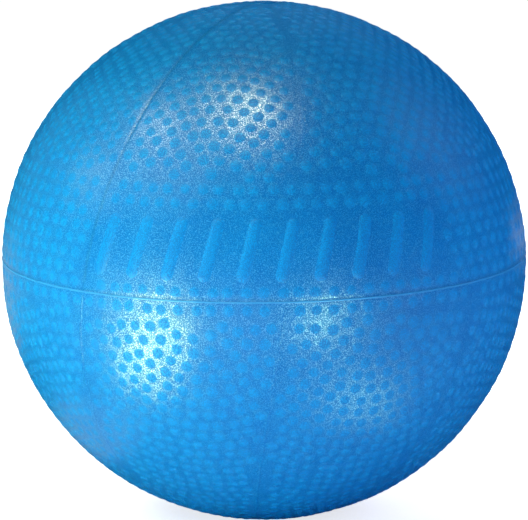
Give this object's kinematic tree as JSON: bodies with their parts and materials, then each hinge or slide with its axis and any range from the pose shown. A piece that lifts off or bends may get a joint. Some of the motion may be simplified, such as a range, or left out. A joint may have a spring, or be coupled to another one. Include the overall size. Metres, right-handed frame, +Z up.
{
  "type": "pilates ball",
  "caption": "Small soft inflatable exercise ball with a pebbled vinyl skin, a bonded valve seat and a stopper that pulls out.",
  "frame": {"origin": "middle of the flat patch that the ball rests on", "axes": "+Z up through the ball's middle, -Y towards the raised bars on the front, +Y towards the valve at the back"},
  "size_m": [0.2506, 0.2506, 0.2462],
  "materials": {
    "blue_vinyl": "satin",
    "seat_vinyl": "satin",
    "white_vinyl": "satin"
  },
  "bodies": {
    "ball": {"ball_skin": "blue_vinyl", "valve_seat": "seat_vinyl"},
    "plug": {"valve_plug": "white_vinyl"}
  },
  "joints": [
    {"name": "plug_pull", "type": "slide", "parent": "ball", "child": "plug", "axis": [0, 0.8891, 0.4576], "range_m": [0, 0.03]}
  ]
}
